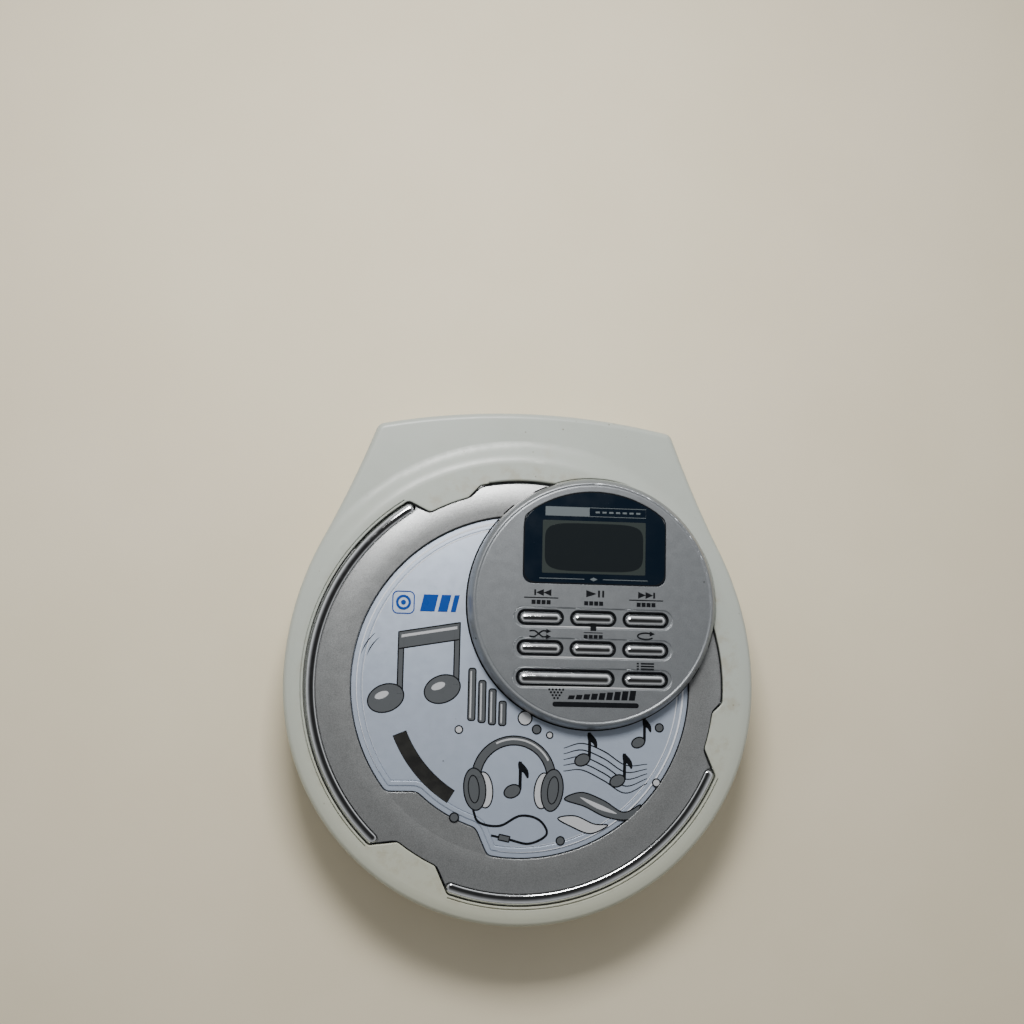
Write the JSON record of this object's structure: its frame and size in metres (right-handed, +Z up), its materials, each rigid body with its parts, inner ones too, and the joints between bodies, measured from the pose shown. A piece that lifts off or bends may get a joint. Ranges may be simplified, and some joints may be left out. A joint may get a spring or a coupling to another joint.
{
  "type": "portable disc player",
  "caption": "Flat round portable disc player: hinged notched lid with chrome trim, sight window and a raised round control pod with display and pill keys.",
  "frame": {"origin": "where the disc's spindle axis meets the surface the feet rest on", "axes": "+Z up through the lid, +Y towards the lid's hinge, +X to the right of someone facing the hinge from the front"},
  "size_m": [0.1508, 0.1637, 0.0334],
  "materials": {
    "case_plastic": "satin moulded plastic, off-white, slightly yellowed",
    "lid_paint": "fine metallic silver paint over plastic",
    "trim_chrome": "polished plated plastic",
    "label_film": "printed glossy plate",
    "smoked_window": "smoked clear plastic",
    "pod_paint": "satin silver paint over plastic",
    "lens_smoke": "dark printed display lens",
    "display_glass": "display glass",
    "inner_plastic": "grey moulded plastic",
    "dark_plastic": "black moulded plastic",
    "circuit_board": "green solder mask",
    "rubber_black": "matt rubber",
    "rubber_key": "grey silicone rubber",
    "steel_bright": "bright steel",
    "contact_metal": "nickel plate",
    "capacitor_can": "aluminium can",
    "ribbon_film": "amber film",
    "pickup_glass": "coated lens"
  },
  "bodies": {
    "base": {"lower_case": "case_plastic", "upper_case": "case_plastic", "disc_well": "inner_plastic", "feet": "rubber_black", "case_screws": "steel_bright", "hinge_pins": "steel_bright", "main_board": "circuit_board", "board_chips": "dark_plastic", "capacitors": "capacitor_can", "board_screws": "steel_bright", "headphone_jack": "dark_plastic", "dc_jack": "dark_plastic", "volume_pot": "steel_bright", "hold_switch": "steel_bright", "latch_spring": "steel_bright", "chassis_deck": "steel_bright", "dampers": "rubber_black", "deck_screws": "steel_bright", "spindle_motor": "steel_bright", "sled_motor": "steel_bright", "guide_rod": "steel_bright", "battery_contacts": "contact_metal", "battery_springs": "contact_metal"},
    "lid": {"lid_ring": "lid_paint", "chrome_strip_left": "trim_chrome", "chrome_strip_front": "trim_chrome", "lid_inner": "inner_plastic", "lid_label": "label_film", "lid_window": "smoked_window", "hinge_arm_left": "inner_plastic", "hinge_arm_right": "inner_plastic", "lid_catch": "inner_plastic", "pod_cover": "pod_paint", "pod_base": "inner_plastic", "pod_board": "circuit_board", "keypad": "rubber_key", "lcd_module": "display_glass", "lcd_lens": "lens_smoke", "pod_ribbon": "ribbon_film"},
    "battery_door_body": {"battery_door": "case_plastic"},
    "volume_wheel_body": {"volume_wheel": "dark_plastic"},
    "hold_knob_body": {"hold_knob": "dark_plastic"},
    "open_latch": {"open_button": "lid_paint", "latch_hook": "inner_plastic"},
    "spindle": {"spindle_shaft": "steel_bright", "turntable": "dark_plastic", "clamp_balls": "contact_metal", "disc_mat": "rubber_black"},
    "sled": {"pickup_sled": "dark_plastic", "pickup_lens": "pickup_glass"},
    "lead_screw_body": {"lead_screw": "steel_bright"},
    "key_back": {"button_back": "trim_chrome"},
    "key_play": {"button_play": "trim_chrome"},
    "key_next": {"button_next": "trim_chrome"},
    "key_random": {"button_random": "trim_chrome"},
    "key_stop": {"button_stop": "trim_chrome"},
    "key_mode": {"button_mode": "trim_chrome"},
    "key_long": {"button_long": "trim_chrome"},
    "key_prog": {"button_prog": "trim_chrome"}
  },
  "joints": [
    {"name": "lid_hinge", "type": "hinge", "parent": "base", "child": "lid", "pos_m": [0, 0.0715, 0.022], "axis": [-1, 0, 0], "range_deg": [0, 56]},
    {"name": "battery_door_slide", "type": "slide", "parent": "base", "child": "battery_door_body", "axis": [0, 1, 0], "range_m": [0, 0.012]},
    {"name": "volume_turn", "type": "hinge", "parent": "base", "child": "volume_wheel_body", "pos_m": [0.0669, 0.014, 0.0094], "axis": [0, 0, 1], "range_deg": [0, 250]},
    {"name": "hold_slide", "type": "slide", "parent": "base", "child": "hold_knob_body", "axis": [0, 1, 0], "range_m": [0, 0.004]},
    {"name": "open_press", "type": "slide", "parent": "base", "child": "open_latch", "axis": [0, 1, 0], "range_m": [0, 0.0014], "stiffness_N_per_m": 600, "deforming": ["latch_spring"]},
    {"name": "spindle_turn", "type": "hinge", "parent": "base", "child": "spindle", "pos_m": [0, 0, 0.02], "axis": [0, 0, 1], "continuous": true},
    {"name": "sled_slide", "type": "slide", "parent": "base", "child": "sled", "axis": [-1, 0, 0], "range_m": [0, 0.032]},
    {"name": "lead_screw_turn", "type": "hinge", "parent": "base", "child": "lead_screw_body", "pos_m": [-0.04, 0.015, 0.0134], "axis": [1, 0, 0], "range_deg": [-5, 2640]},
    {"name": "press_back", "type": "slide", "parent": "lid", "child": "key_back", "axis": [0, 0, -1], "range_m": [0, 0.0006], "stiffness_N_per_m": 900},
    {"name": "press_play", "type": "slide", "parent": "lid", "child": "key_play", "axis": [0, 0, -1], "range_m": [0, 0.0006], "stiffness_N_per_m": 900},
    {"name": "press_next", "type": "slide", "parent": "lid", "child": "key_next", "axis": [0, 0, -1], "range_m": [0, 0.0006], "stiffness_N_per_m": 900},
    {"name": "press_random", "type": "slide", "parent": "lid", "child": "key_random", "axis": [0, 0, -1], "range_m": [0, 0.0006], "stiffness_N_per_m": 900},
    {"name": "press_stop", "type": "slide", "parent": "lid", "child": "key_stop", "axis": [0, 0, -1], "range_m": [0, 0.0006], "stiffness_N_per_m": 900},
    {"name": "press_mode", "type": "slide", "parent": "lid", "child": "key_mode", "axis": [0, 0, -1], "range_m": [0, 0.0006], "stiffness_N_per_m": 900},
    {"name": "press_long", "type": "slide", "parent": "lid", "child": "key_long", "axis": [0, 0, -1], "range_m": [0, 0.0006], "stiffness_N_per_m": 900},
    {"name": "press_prog", "type": "slide", "parent": "lid", "child": "key_prog", "axis": [0, 0, -1], "range_m": [0, 0.0006], "stiffness_N_per_m": 900}
  ],
  "couplings": [
    {"joint": "lead_screw_turn", "follows": "sled_slide", "rad_per_m": 1428}
  ]
}
